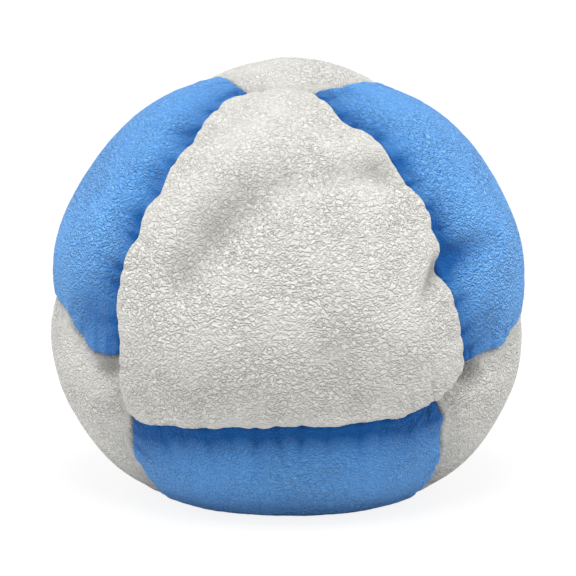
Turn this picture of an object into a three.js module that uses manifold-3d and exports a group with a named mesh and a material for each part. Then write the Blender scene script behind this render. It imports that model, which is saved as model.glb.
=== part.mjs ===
// A sand-filled kick ball, sewn from eight suede panels in the layout of an octahedron.
// Millimetres, +Z up. The ball has sagged onto a flat patch, and the origin is the centre of that patch.
// The front panel faces -Y.
import * as THREE from "three";
import { mergeVertices } from "three/addons/utils/BufferGeometryUtils.js";
import Module from "manifold-3d";

const wasm = await Module();
wasm.setup();

// Driving dimensions of the ball as it rests.
const ballRadius = 26;
const centreHeight = 20.9; // the ball's centre above the table, after the sand has sagged
const floorBlend = 1.5; // how gently the round side turns into the flat patch
const seamSink = 0.5; // how far the seams are drawn in below the panels' crowns
const crownLength = 3; // how quickly a panel rises from its seam to its crown

// Where the tips of the octahedron point, in degrees. The other three tips are opposite these.
const topTip = { azimuth: 0, elevation: 71 };
const leftTip = { azimuth: -45, elevation: -13 };
const rightTip = { azimuth: 44, elevation: -8 };

// The suede and how it is cut.
const suedeThickness = 0.9;
const tipSeamLength = 8.8; // the short grey to grey seam across each tip
const sideBow = 2.5; // how far a blue panel's sides bulge towards the grey panels
const cornerCut = 2.2; // how far from a corner its rounding starts
const innerFoldRadius = 0.35; // the bend of the suede's inner face, where it turns in at a seam
const flangeHeight = 3; // the straight part of the turned-in edge, below the fold
const seamGap = 0.3; // between the two turned-in edges of a seam
const edgeBlend = 12; // the turned-in edges follow the bend above the flat patch less closely than the outer face

// The sewing thread and its holes.
const threadDiameter = 0.5;
const threadClearance = 0.12; // around the thread, in its holes and beside the suede
const stitchPitch = 5.5;
const stitchDrop = 0.8; // from the fold down to the stitches
const fewestStitches = 2;
const knotDiameter = 0.9;
const knotLength = 0.9;
const knotStart = 0.6; // from the last hole to the knot

// The sand.
const sandClearance = 0.3;
const padRoot = 1.2; // how far the sand behind a panel is carried into the core
const sandLevel = 36; // the sand's level top, above the table

// How finely the faces are cut.
const faceShares = [0.25, 0.5, 0.76]; // rings of a panel's face, as shares of the way from its middle to its fold
const rimSide = 3.2; // one more ring, this far from the seam
const threadSides = 4;
const holeSides = 4; // an awl's cut is a diamond
const coreRings = 6;
const coreSides = 12;

// Sizes that follow from those.
const foldRadius = innerFoldRadius + suedeThickness;
const edgeDepth = foldRadius + flangeHeight; // from the seam's top down to the raw edge
const stitchDepth = foldRadius + stitchDrop;
const outerFace = seamGap / 2; // the turned-in edge's two faces, from the seam's middle
const innerFace = outerFace + suedeThickness;
const foldMiddle = outerFace + foldRadius; // the fold's axis, from the seam's middle
const threadSide = innerFace + threadClearance + threadDiameter / 2;
const knotSide = innerFace + threadClearance + knotDiameter / 2;
const holeRadius = (threadDiameter / 2 + threadClearance) / Math.cos(Math.PI / holeSides);
const tipSeamTurn = tipSeamLength / 2 / ballRadius; // half a tip seam, as an angle at the ball's centre

const ballCentre = new THREE.Vector3(0, 0, centreHeight);

const suedeGrey = new THREE.MeshStandardMaterial({ color: 0xd0cfca, roughness: 0.95, metalness: 0 });
const suedeBlue = new THREE.MeshStandardMaterial({ color: 0x5a98d8, roughness: 0.95, metalness: 0 });
const threadWhite = new THREE.MeshStandardMaterial({ color: 0xe6e3da, roughness: 0.7, metalness: 0 });
const sandTan = new THREE.MeshStandardMaterial({ color: 0xc8b083, roughness: 1, metalness: 0 });

// Directions on the ball.

function directionOf({ azimuth, elevation }) {
  const a = THREE.MathUtils.degToRad(azimuth);
  const e = THREE.MathUtils.degToRad(elevation);
  return new THREE.Vector3(Math.sin(a) * Math.cos(e), -Math.cos(a) * Math.cos(e), Math.sin(e));
}

function turnTowards(from, to, angle) {
  const side = to.clone().addScaledVector(from, -to.dot(from)).normalize();
  return from.clone().multiplyScalar(Math.cos(angle)).addScaledVector(side, Math.sin(angle));
}

function slerp(from, to, share) {
  return turnTowards(from, to, from.angleTo(to) * share);
}

const mean = (...vectors) => vectors.reduce((sum, v) => sum.add(v), new THREE.Vector3()).normalize();

// The resting ball's outer face.

// The smaller of two lengths, rounded off where they are within a blend of each other.
function softMin(a, b, blend) {
  const near = Math.max(blend - Math.abs(a - b), 0) / blend;
  return Math.min(a, b) - (near * near * blend) / 4;
}

// How far the outer face is from the ball's centre, at a distance from the fold of the nearest seam.
function reach(direction, fromFold, blend = floorBlend) {
  const round = ballRadius - seamSink * Math.exp(-fromFold / crownLength);
  return direction.z < 0 ? softMin(round, -centreHeight / direction.z, blend) : round;
}

const faceAt = (direction, fromFold, depth = 0) =>
  direction.clone().multiplyScalar(reach(direction, fromFold) - depth).add(ballCentre);

// The way out of the ball that the turned-in edges follow at a seam: the normal of a softer form of the outer face.
function seamNormal(direction) {
  const step = 1e-3;
  const across = new THREE.Vector3().crossVectors(direction, new THREE.Vector3(0.3, 0.5, 0.8)).normalize();
  const along = new THREE.Vector3().crossVectors(direction, across);
  const near = (side, way) => {
    const turned = direction.clone().addScaledVector(side, way * step).normalize();
    return turned.multiplyScalar(reach(turned, 0, edgeBlend));
  };
  const slope = (side) => near(side, 1).sub(near(side, -1));
  const normal = new THREE.Vector3().crossVectors(slope(across), slope(along)).normalize();
  return normal.dot(direction) < 0 ? normal.negate() : normal;
}

// Solids.

// A closed solid through a first point, rings of equal count and a last point. Each four-sided face between two
// rings is split along its shorter diagonal.
function solidFromRings(first, rings, last) {
  const count = rings[0].length;
  const points = [first, ...rings.flat(), last];
  const at = (ring, i) => 1 + ring * count + (i % count);
  const faces = [];
  const split = (a, b, c, d) => {
    const isShorter = points[a].distanceTo(points[c]) < points[b].distanceTo(points[d]);
    faces.push(...(isShorter ? [a, b, c, a, c, d] : [a, b, d, b, c, d]));
  };
  for (let i = 0; i < count; i++) {
    faces.push(0, at(0, i), at(0, i + 1));
    for (let ring = 0; ring + 1 < rings.length; ring++) {
      split(at(ring, i), at(ring + 1, i), at(ring + 1, i + 1), at(ring, i + 1));
    }
    faces.push(points.length - 1, at(rings.length - 1, i + 1), at(rings.length - 1, i));
  }
  const geometry = new THREE.BufferGeometry().setFromPoints(points);
  geometry.setIndex(faces);
  return geometry;
}

function toSolid(geometry) {
  const bare = geometry.clone();
  bare.deleteAttribute("normal");
  bare.deleteAttribute("uv");
  const merged = mergeVertices(bare);
  return new wasm.Manifold(
    new wasm.Mesh({
      numProp: 3,
      vertProperties: merged.attributes.position.array,
      triVerts: new Uint32Array(merged.index.array),
    }),
  );
}

function toGeometry(solid) {
  const mesh = solid.getMesh();
  return new THREE.BufferGeometry()
    .setAttribute("position", new THREE.BufferAttribute(mesh.vertProperties, mesh.numProp))
    .setIndex(new THREE.BufferAttribute(mesh.triVerts, 1));
}

// The layout of panels and seams.

const top = directionOf(topTip);
const left = directionOf(leftTip);
const right = directionOf(rightTip);
const bottom = top.clone().negate();
const rearRight = left.clone().negate();
const rearLeft = right.clone().negate();

// Each panel's three tips run anticlockwise, seen from outside.
const panels = {
  grey_front: { tips: [top, left, right] },
  grey_top_rear: { tips: [top, rearRight, rearLeft] },
  grey_left_rear: { tips: [bottom, left, rearLeft] },
  grey_right_rear: { tips: [bottom, rearRight, right] },
  blue_upper_left: { tips: [top, rearLeft, left] },
  blue_upper_right: { tips: [top, right, rearRight] },
  blue_bottom: { tips: [bottom, right, left] },
  blue_rear: { tips: [bottom, rearLeft, rearRight] },
};
for (const [name, panel] of Object.entries(panels)) {
  panel.name = name;
  panel.isBlue = name.startsWith("blue");
  panel.middle = mean(...panel.tips);
}
const greyPanels = Object.values(panels).filter((panel) => !panel.isBlue);
const bluePanels = Object.values(panels).filter((panel) => panel.isBlue);

// A blue panel's corner, drawn back from the tip by half a tip seam.
const corner = (blue, tip) => turnTowards(tip, blue.middle, tipSeamTurn);

// A seam runs over the ball from one corner to another. It holds a node at each end of its straight stretch and
// between its stitches, and every node has a frame: a point, the outward normal and the direction across the seam.
function makeSeam(name, from, to, bow, awayFrom) {
  const side = new THREE.Vector3().crossVectors(from, to).normalize();
  if (side.dot(awayFrom) > 0) side.negate();
  const direction = (share) =>
    slerp(from, to, share).addScaledVector(side, (bow / ballRadius) * 4 * share * (1 - share)).normalize();
  const length = from.angleTo(to) * ballRadius;
  const stitches = Math.max(fewestStitches, Math.round((length - 2 * cornerCut) / stitchPitch));
  const nodes = [];
  for (let i = 0; i <= stitches; i++) {
    const share = (cornerCut + ((length - 2 * cornerCut) * i) / stitches) / length;
    nodes.push(frameAt(direction(share), direction(share - 1e-3), direction(share + 1e-3)));
  }
  return { name, from, to, nodes };
}

function frameAt(direction, before, after) {
  const normal = seamNormal(direction);
  const along = faceAt(after, 0).sub(faceAt(before, 0)).normalize();
  const across = new THREE.Vector3().crossVectors(normal, along).normalize();
  return { direction, point: faceAt(direction, 0), normal, across };
}

// The place in a node's frame at a distance across the seam and a depth below its top.
const placeIn = ({ point, normal, across }, side, depth) =>
  point.clone().addScaledVector(across, side).addScaledVector(normal, -depth);

const seams = [];
for (const blue of bluePanels) {
  blue.tips.forEach((tip, i) => {
    const nextTip = blue.tips[(i + 1) % blue.tips.length];
    const grey = greyPanels.find((panel) => panel.tips.includes(tip) && panel.tips.includes(nextTip));
    const name = `${grey.name}_to_${blue.name}`;
    seams.push(makeSeam(name, corner(blue, tip), corner(blue, nextTip), sideBow, blue.middle));
  });
}
for (const tip of [top, left, right, bottom, rearRight, rearLeft]) {
  const [blueA, blueB] = bluePanels.filter((panel) => panel.tips.includes(tip));
  const [greyA, greyB] = greyPanels.filter((panel) => panel.tips.includes(tip));
  const name = `${greyA.name}_to_${greyB.name}`;
  seams.push(makeSeam(name, corner(blueA, tip), corner(blueB, tip), 0, greyA.middle));
}

// The closed outline of a panel: its seams' nodes in order, with a rounding node at each corner. The direction
// across each seam is turned to point into the panel.
function outlineOf(panel) {
  const corners = panel.isBlue
    ? panel.tips.map((tip) => corner(panel, tip))
    : panel.tips.flatMap((tip, i) => {
        const before = panel.tips[(i + 2) % 3];
        const after = panel.tips[(i + 1) % 3];
        return [before, after].map((other) => {
          const blue = bluePanels.find((p) => p.tips.includes(tip) && p.tips.includes(other));
          return corner(blue, tip);
        });
      });
  const isAt = (a, b) => a.distanceTo(b) < 1e-6;
  const runs = corners.map((start, i) => {
    const end = corners[(i + 1) % corners.length];
    const forward = seams.find((seam) => isAt(seam.from, start) && isAt(seam.to, end));
    const backward = seams.find((seam) => isAt(seam.from, end) && isAt(seam.to, start));
    return { end, nodes: forward ? forward.nodes : [...backward.nodes].reverse() };
  });
  return runs.flatMap(({ end, nodes }, i) => {
    const next = runs[(i + 1) % runs.length].nodes[0].direction;
    const last = nodes[nodes.length - 1].direction;
    const rounding = last.clone().addScaledVector(end, 2).add(next).normalize();
    return [...nodes, frameAt(rounding, last, next)].map((node) => {
      const inward = panel.middle.dot(node.across) > node.direction.dot(node.across);
      return inward ? node : { ...node, across: node.across.clone().negate() };
    });
  });
}

// Where a panel's face ends and its fold starts, at a depth below the outer side.
const foldDirection = (node) => placeIn(node, foldMiddle, 0).sub(ballCentre).normalize();
const foldPlace = (node, depth) => faceAt(foldDirection(node), 0).addScaledVector(node.normal, -depth);

// The rings of a panel's face at a depth below its outer side, from the panel's middle out to its rim.
function faceRings(panel, outline, depth) {
  const place = (node, direction) =>
    faceAt(direction, ballRadius * direction.angleTo(foldDirection(node)), depth);
  const inner = faceShares.map((share) =>
    outline.map((node) => place(node, slerp(panel.middle, foldDirection(node), share))),
  );
  const rim = outline.map((node) => place(node, placeIn(node, rimSide, 0).sub(ballCentre).normalize()));
  return [...inner, rim];
}

// The middle of a panel's face, which is far from any seam.
const faceMiddle = (panel, depth) => faceAt(panel.middle, ballRadius, depth);

// The suede of one panel: the crown, the fold at its seams, and the edge turned in below the fold.
function panelGeometry(panel, outline) {
  const ring = (side, depth) => outline.map((node) => placeIn(node, side, depth));
  const foldTurn = Math.SQRT1_2;
  const rings = [
    ...faceRings(panel, outline, 0),
    outline.map((node) => foldPlace(node, 0)),
    ring(foldMiddle - foldRadius * foldTurn, foldRadius * (1 - foldTurn)),
    ring(outerFace, foldRadius),
    ring(outerFace, edgeDepth),
    ring(innerFace, edgeDepth),
    ring(innerFace, foldRadius),
    outline.map((node) => foldPlace(node, suedeThickness)),
    ...faceRings(panel, outline, suedeThickness).toReversed(),
  ];
  return solidFromRings(faceMiddle(panel, 0), rings, faceMiddle(panel, suedeThickness));
}

// A frame half way between two nodes, where a stitch goes through the seam.
function betweenNodes(a, b) {
  const half = (key) => a[key].clone().add(b[key]).multiplyScalar(0.5);
  const normal = half("normal").normalize();
  const across = half("across");
  across.addScaledVector(normal, -across.dot(normal)).normalize();
  return { point: half("point"), normal, across };
}

const aheadIn = ({ across, normal }) => new THREE.Vector3().crossVectors(across, normal);

const stitchFrames = ({ nodes }) => nodes.slice(1).map((node, i) => betweenNodes(nodes[i], node));

// The hole that a stitch needs, as a cutter through both turned-in edges.
function holeCutter(frame) {
  const length = 2 * (innerFace + threadClearance + threadDiameter);
  const cutter = new THREE.CylinderGeometry(holeRadius, holeRadius, length, holeSides);
  const turn = new THREE.Matrix4().makeBasis(aheadIn(frame), frame.across, frame.normal);
  return toSolid(cutter.applyMatrix4(turn).translate(...placeIn(frame, 0, stitchDepth)));
}

// The thread of one seam: a running stitch that passes through the turned-in edges at every hole, with a knot
// at each end.
function threadGeometry(seam) {
  const frames = stitchFrames(seam);
  const path = [];
  const lay = (frame, along, side, radius) => {
    const point = placeIn(frame, side, stitchDepth).addScaledVector(aheadIn(frame), along);
    path.push({ point, normal: frame.normal, radius });
  };
  const plain = threadDiameter / 2;
  const knot = knotDiameter / 2;
  let side = -1;
  lay(frames[0], -knotStart - knotLength, side * knotSide, knot / 2);
  lay(frames[0], -knotStart - (2 * knotLength) / 3, side * knotSide, knot);
  lay(frames[0], -knotStart - knotLength / 3, side * knotSide, knot);
  lay(frames[0], -knotStart, side * threadSide, plain);
  for (const frame of frames) {
    lay(frame, 0, side * threadSide, plain);
    side = -side;
    lay(frame, 0, side * threadSide, plain);
  }
  const last = frames[frames.length - 1];
  lay(last, knotStart, side * threadSide, plain);
  lay(last, knotStart + knotLength / 3, side * knotSide, knot);
  lay(last, knotStart + (2 * knotLength) / 3, side * knotSide, knot);
  lay(last, knotStart + knotLength, side * knotSide, knot / 2);
  return tube(path);
}

// A solid tube along a path, mitred where the path turns. Each point of the path has a radius, and a normal of the
// plane that it turns in.
function tube(path) {
  const rings = path.map(({ point, normal, radius }, i) => {
    const before = point.clone().sub(path[Math.max(i - 1, 0)].point).normalize();
    const after = path[Math.min(i + 1, path.length - 1)].point.clone().sub(point).normalize();
    const ahead = before.clone().add(after).normalize();
    const mitre = 1 / Math.max(ahead.dot(before), ahead.dot(after));
    const across = new THREE.Vector3().crossVectors(normal, ahead).normalize();
    const up = new THREE.Vector3().crossVectors(ahead, across);
    return Array.from({ length: threadSides }, (_, k) => {
      const turn = (2 * Math.PI * (k + 0.5)) / threadSides;
      return point
        .clone()
        .addScaledVector(up, radius * Math.cos(turn))
        .addScaledVector(across, mitre * radius * Math.sin(turn));
    });
  });
  return solidFromRings(path[0].point, rings, path[path.length - 1].point);
}

// The sand: a core inside the raw edges of the seams, and a pad of sand that fills each panel up to its lining.
// It is level at the top, because the ball isn't full.
function sandGeometry(outlines) {
  const padDepth = suedeThickness + sandClearance;
  const coreDepth = edgeDepth + sandClearance;
  const coreAt = (direction) =>
    faceAt(direction, 0).addScaledVector(seamNormal(direction), -coreDepth);
  const coreRow = (_, row) => {
    const polar = (Math.PI * (row + 1)) / (coreRings + 1);
    return Array.from({ length: coreSides }, (_, i) => {
      const turn = (2 * Math.PI * i) / coreSides;
      return coreAt(new THREE.Vector3().setFromSphericalCoords(1, polar, turn).applyAxisAngle(xAxis, Math.PI / 2));
    });
  };
  const xAxis = new THREE.Vector3(1, 0, 0);
  const zAxis = new THREE.Vector3(0, 0, 1);
  const coreRows = Array.from({ length: coreRings }, coreRow);
  let sand = toSolid(solidFromRings(coreAt(zAxis), coreRows, coreAt(zAxis.clone().negate())));
  for (const panel of Object.values(panels)) {
    const outline = outlines.get(panel);
    const rings = faceRings(panel, outline, padDepth);
    rings.push(outline.map((node) => placeIn(node, rimSide, coreDepth + padRoot)));
    sand = sand.add(toSolid(solidFromRings(faceMiddle(panel, padDepth), rings, ballCentre)));
  }
  const above = new THREE.BoxGeometry(4 * ballRadius, 4 * ballRadius, 4 * ballRadius);
  return toGeometry(sand.subtract(toSolid(above.translate(0, 0, sandLevel + 2 * ballRadius))));
}

// The ball.

const ball = new THREE.Group();
ball.name = "sandbag_ball";

function addPiece(name, geometry, material) {
  const mesh = new THREE.Mesh(geometry, material);
  mesh.name = name;
  ball.add(mesh);
}

const holes = seams.flatMap(stitchFrames).map(holeCutter);
const outlines = new Map(Object.values(panels).map((panel) => [panel, outlineOf(panel)]));

for (const panel of Object.values(panels)) {
  const suede = toSolid(panelGeometry(panel, outlines.get(panel)));
  const pierced = holes.reduce((solid, hole) => solid.subtract(hole), suede);
  addPiece(`${panel.name}_panel`, toGeometry(pierced), panel.isBlue ? suedeBlue : suedeGrey);
}
for (const seam of seams) {
  addPiece(`thread_${seam.name}`, threadGeometry(seam), threadWhite);
}
addPiece("sand_fill", sandGeometry(outlines), sandTan);

export default ball;
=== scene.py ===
"""Dresses the sewn sand ball: eight suede panels with turned-in edges, their thread and the sand."""

import logging
import math
from dataclasses import dataclass, field, replace
from enum import Enum

import bpy
import numpy as np
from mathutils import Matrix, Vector, noise


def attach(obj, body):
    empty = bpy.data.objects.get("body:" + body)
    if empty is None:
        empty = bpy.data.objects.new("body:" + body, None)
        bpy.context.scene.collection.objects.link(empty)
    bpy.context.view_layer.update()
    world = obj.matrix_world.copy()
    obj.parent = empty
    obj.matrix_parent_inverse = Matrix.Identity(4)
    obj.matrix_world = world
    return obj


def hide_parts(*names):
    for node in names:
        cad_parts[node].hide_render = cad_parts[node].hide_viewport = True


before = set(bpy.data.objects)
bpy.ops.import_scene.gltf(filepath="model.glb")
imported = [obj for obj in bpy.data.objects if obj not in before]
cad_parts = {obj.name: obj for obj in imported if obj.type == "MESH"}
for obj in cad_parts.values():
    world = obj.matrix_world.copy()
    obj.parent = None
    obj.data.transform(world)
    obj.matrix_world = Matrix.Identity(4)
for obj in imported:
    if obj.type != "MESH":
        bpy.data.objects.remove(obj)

LOG = logging.getLogger("sandbag_ball")
MM = 0.001
Array = np.ndarray
Colour3 = tuple[float, float, float]
Span = tuple[float, float]
Socket = bpy.types.NodeSocket
WHITE = (1.0, 1.0, 1.0, 1.0)


def unit(vectors: Array) -> Array:
    """Scales vectors to length one."""
    return vectors / np.linalg.norm(vectors, axis=-1, keepdims=True)


def heading(azimuth: float, elevation: float) -> Array:
    """Turns two angles into a direction.

    Args:
        azimuth: Degrees to the right of the front, seen from the front.
        elevation: Degrees above the level of the ball's middle.

    Returns:
        The unit direction, with the front along -Y and up along +Z.
    """
    a = math.radians(azimuth)
    e = math.radians(elevation)
    return np.array([math.sin(a) * math.cos(e), -math.cos(a) * math.cos(e), math.sin(e)])


def along_arc(start: Array, end: Array, shares: Array) -> Array:
    """Walks the shortest arcs between directions.

    Args:
        start: One direction, or one for each share.
        end: One direction, or one for each share.
        shares: How far along each arc, from 0 to 1.

    Returns:
        One direction for each share.
    """
    cosine = np.clip(np.sum(start * end, axis=-1), -1.0, 1.0)
    angle = np.maximum(np.arccos(cosine), 1e-6)
    first = np.sin((1.0 - shares) * angle) / np.sin(angle)
    second = np.sin(shares * angle) / np.sin(angle)
    return unit(first[..., None] * start + second[..., None] * end)


def blur_ring(values: Array, spread: float) -> Array:
    """Smooths values that run round a closed line.

    Args:
        values: One row for each point of the line.
        spread: Width of the smoothing, in points.

    Returns:
        The smoothed rows.
    """
    reach = int(math.ceil(spread * 3.0))
    offsets = np.arange(-reach, reach + 1)
    weights = np.exp(-0.5 * (offsets / spread) ** 2)
    weights /= weights.sum()
    total = np.zeros_like(values)
    for offset, weight in zip(offsets, weights):
        total += weight * np.roll(values, offset, axis=0)
    return total


def untangle(
    line: Array, middle: Array, spread: float = 4.0, rounds: int = 80, slowest: float = 0.1
) -> Array:
    """Smooths a closed line wherever it turns back on its way round a middle.

    Args:
        line: Directions in turn, counter-clockwise.
        middle: The direction that the line runs round.
        spread: Width of the smoothing, in points.
        rounds: How often the line may be smoothed.
        slowest: The share of the usual turn at which a point counts as turning back.

    Returns:
        The line, running steadily round the middle.
    """
    reach = int(spread * 3.0)
    for _ in range(rounds):
        turning = np.cross(line, np.roll(line, -1, axis=0)) @ middle
        back = turning < slowest * np.median(turning)
        if not back.any():
            break
        near = np.zeros(len(line), dtype=bool)
        for offset in range(-reach, reach + 1):
            near |= np.roll(back, offset)
        line = np.where(near[:, None], unit(blur_ring(line, spread)), line)
    return line


def roughen(piece: bpy.types.Object, name: str, grain: float, height: float, group: str = "") -> None:
    """Raises a crumpled relief on a piece.

    Args:
        piece: The piece, which is the active one.
        name: The relief's name.
        grain: The size of its lumps, in millimetres.
        height: Its height, in millimetres.
        group: The vertex group that says where it is raised; without one it is raised all over.
    """
    relief = bpy.data.textures.new(f"{piece.name}_{name}", "CLOUDS")
    relief.noise_scale = grain * MM
    modifier = piece.modifiers.new(name, "DISPLACE")
    modifier.texture = relief
    modifier.texture_coords = "LOCAL"
    modifier.strength = height * MM
    modifier.vertex_group = group
    bpy.ops.object.modifier_apply(modifier=modifier.name)


class Colour(Enum):
    """The two suedes, by the record's material slots."""

    GREY = "suede_grey"
    BLUE = "suede_blue"


class Tip(Enum):
    """The six places where two grey corners and two blue corners meet, as azimuth and elevation."""

    TOP = (0.0, 71.0)
    LEFT = (-45.0, -13.0)
    RIGHT = (44.0, -8.0)
    BOTTOM = (180.0, -71.0)
    REAR_RIGHT = (135.0, 13.0)
    REAR_LEFT = (-136.0, 8.0)

    @property
    def direction(self) -> Array:
        """The unit direction of the tip."""
        return heading(*self.value)


class Panel(Enum):
    """The eight panels, with their tips in turn, counter-clockwise from outside."""

    GREY_FRONT = ("grey_front", Colour.GREY, (Tip.TOP, Tip.LEFT, Tip.RIGHT))
    GREY_TOP_REAR = ("grey_top_rear", Colour.GREY, (Tip.TOP, Tip.REAR_RIGHT, Tip.REAR_LEFT))
    GREY_LEFT_REAR = ("grey_left_rear", Colour.GREY, (Tip.BOTTOM, Tip.LEFT, Tip.REAR_LEFT))
    GREY_RIGHT_REAR = ("grey_right_rear", Colour.GREY, (Tip.BOTTOM, Tip.REAR_RIGHT, Tip.RIGHT))
    BLUE_UPPER_LEFT = ("blue_upper_left", Colour.BLUE, (Tip.TOP, Tip.REAR_LEFT, Tip.LEFT))
    BLUE_UPPER_RIGHT = ("blue_upper_right", Colour.BLUE, (Tip.TOP, Tip.RIGHT, Tip.REAR_RIGHT))
    BLUE_BOTTOM = ("blue_bottom", Colour.BLUE, (Tip.BOTTOM, Tip.RIGHT, Tip.LEFT))
    BLUE_REAR = ("blue_rear", Colour.BLUE, (Tip.BOTTOM, Tip.REAR_LEFT, Tip.REAR_RIGHT))

    @property
    def label(self) -> str:
        """The panel's short name."""
        return self.value[0]

    @property
    def colour(self) -> Colour:
        """The suede that the panel is cut from."""
        return self.value[1]

    @property
    def tips(self) -> tuple[Tip, Tip, Tip]:
        """The panel's tips in turn."""
        return self.value[2]

    @property
    def middle(self) -> Array:
        """The direction of the panel's middle."""
        return unit(sum(tip.direction for tip in self.tips))


@dataclass(frozen=True)
class RestingBall:
    """The plain round form, flat where it rests on the floor. Lengths are in millimetres."""

    radius: float = 26.0
    centre_height: float = 20.9
    floor_blend: float = 1.5
    edge_blend: float = 12.0
    level_limit: float = 0.02
    lowest: float = 0.05

    def floor_reach(self, directions: Array) -> Array:
        """Measures from the ball's centre down to the floor along each direction."""
        down = np.maximum(-directions[..., 2], self.level_limit)
        return self.centre_height / down

    def reach(self, directions: Array, loss: Array) -> Array:
        """Measures from the ball's centre to its skin.

        Args:
            directions: Unit directions from the centre.
            loss: How far the skin lies below the full round form.

        Returns:
            The distance along each direction, with the floor's flat patch blended in.
        """
        full = self.radius - loss
        floor = self.floor_reach(directions)
        near = np.maximum(self.floor_blend - np.abs(full - floor), 0.0) / self.floor_blend
        return np.minimum(full, floor) - near * near * self.floor_blend / 4.0

    def outward(self, directions: Array) -> Array:
        """Gives the skin's outward normal.

        Args:
            directions: Unit directions from the centre.

        Returns:
            The normals, turned softly to face the floor over the flat patch.
        """
        over = self.radius - self.floor_reach(directions)
        share = np.clip(0.5 + over / self.edge_blend, 0.0, 1.0)
        share = (share * share * (3.0 - 2.0 * share))[..., None]
        return unit(directions * (1.0 - share) + np.array([0.0, 0.0, -1.0]) * share)

    def place(self, points: Array) -> Array:
        """Moves points from the ball's centre to the frame.

        Args:
            points: The points.

        Returns:
            The points in metres, none of them below the floor.
        """
        placed = points + np.array([0.0, 0.0, self.centre_height])
        placed[:, 2] = np.maximum(placed[:, 2], self.lowest)
        return placed * MM


@dataclass(frozen=True)
class Pinch:
    """A stitch that draws the suede in: its share along the seam, its strength and its crease's length."""

    share: float
    strength: float
    crease: float


@dataclass
class Seam:
    """One sewn line between two panels, as both panels follow it. Lengths are in millimetres."""

    start: Array
    end: Array
    sideways: Array
    radius: float
    bow: float
    seed: int
    drift: tuple[Span, ...] = ()
    step: float = 0.15
    fewest_steps: int = 8
    smoothing: float = 0.5
    smoothing_reach: int = 30
    fine_steps: int = 400
    usual_turn: float = 1.25
    wave: float = 0.28
    wave_counts: tuple[float, ...] = (3.0, 5.0, 8.0)
    weakest_wave: float = 0.4
    calm: float = 0.6
    stitch_seed: int = 100
    pitch: float = 3.0
    pitch_spread: float = 0.22
    pulls: Span = (0.35, 1.1)
    creases: Span = (1.4, 3.2)
    line: Array = field(init=False)
    length: float = field(init=False)
    pinches: tuple[Pinch, ...] = field(init=False)

    def __post_init__(self) -> None:
        """Walks the seam's line and sets its stitches."""
        angle = math.acos(float(np.clip(self.start @ self.end, -1.0, 1.0)))
        count = max(int(round(angle * self.radius / self.step)), self.fewest_steps)
        shares = np.linspace(0.0, 1.0, count + 1)
        plain = along_arc(self.start, self.end, shares)
        lift = self.bow * 4.0 * shares * (1.0 - shares) + self.swing(shares)
        self.line = unit(plain + self.sideways * (lift / self.radius)[:, None])
        self.length = float(np.linalg.norm(np.diff(self.line, axis=0), axis=1).sum() * self.radius)
        self.pinches = self.even_pinches()

    def swing(self, shares: Array) -> Array:
        """Gives the seam's sideways wander.

        Args:
            shares: Shares along the seam.

        Returns:
            The wander towards the grey side, which is nothing at both ends.
        """
        if self.drift:
            marks = [0.0] + [mark for mark, _ in self.drift] + [1.0]
            shifts = [0.0] + [-shift for _, shift in self.drift] + [0.0]
            fine = np.linspace(0.0, 1.0, self.fine_steps + 1)
            plain = np.interp(fine, marks, shifts)
            spread = self.smoothing / (self.radius * self.usual_turn) * self.fine_steps
            reach = self.smoothing_reach
            weights = np.exp(-0.5 * (np.arange(-reach, reach + 1) / spread) ** 2)
            padded = np.concatenate([-plain[reach:0:-1], plain, -plain[-2 : -reach - 2 : -1]])
            smooth = np.convolve(padded, weights / weights.sum(), mode="valid")
            return np.interp(shares, fine, smooth)
        draw = np.random.default_rng(self.seed)
        total = np.zeros_like(shares)
        for count in self.wave_counts:
            phase = draw.uniform(0.0, 2.0 * math.pi)
            height = self.wave * draw.uniform(self.weakest_wave, 1.0)
            total += height * np.sin(count * math.pi * shares * 2.0 + phase)
        return total * np.sqrt(np.maximum(np.sin(math.pi * shares), 0.0)) * self.calm

    def even_pinches(self) -> tuple[Pinch, ...]:
        """Sets stitches about one pitch apart.

        Returns:
            The stitches, with the uneven pull of hand sewing.
        """
        draw = np.random.default_rng(self.seed + self.stitch_seed)
        count = max(int(round(self.length / self.pitch)), 1)
        made = []
        for index in range(count):
            share = (index + 0.5 + draw.uniform(-self.pitch_spread, self.pitch_spread)) / count
            made.append(Pinch(share, draw.uniform(*self.pulls), draw.uniform(*self.creases)))
        return tuple(made)


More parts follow.
